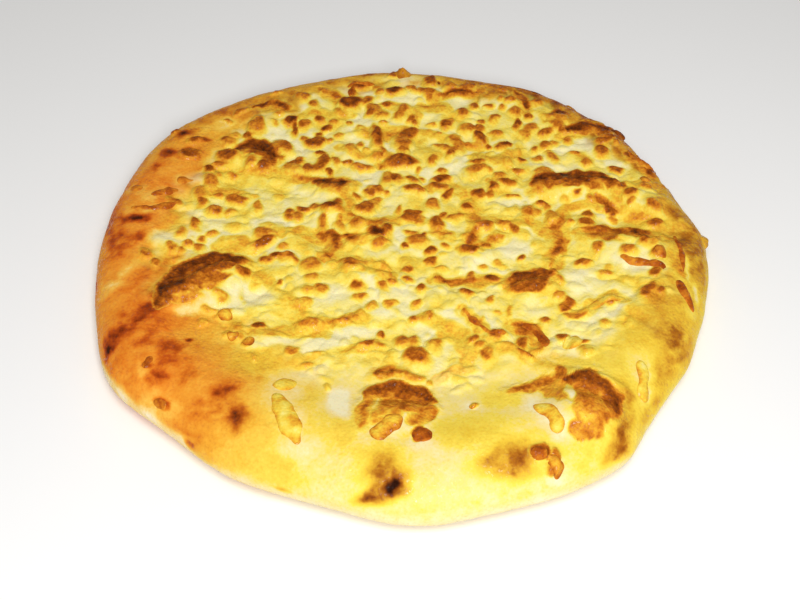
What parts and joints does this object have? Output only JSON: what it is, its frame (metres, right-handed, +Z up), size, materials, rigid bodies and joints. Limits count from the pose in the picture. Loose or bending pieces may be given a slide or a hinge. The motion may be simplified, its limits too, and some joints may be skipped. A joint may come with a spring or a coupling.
{
  "type": "cheese khachapuri",
  "caption": "Flat round filled loaf with a puffed golden rim and browned melted cheese over its top, resting on a flat base.",
  "frame": {"origin": "middle of the flat base, under the middle of the loaf's bounding box", "axes": "+Z up through the loaf; -Y towards the fat side of the rim, which is the side nearest the viewer; +X to the viewer's right"},
  "size_m": [0.3055, 0.305, 0.0289],
  "materials": {
    "crust": "baked, with a soft sheen from melted cheese and egg wash"
  },
  "bodies": {
    "root": {"khachapuri": "crust"}
  },
  "joints": []
}
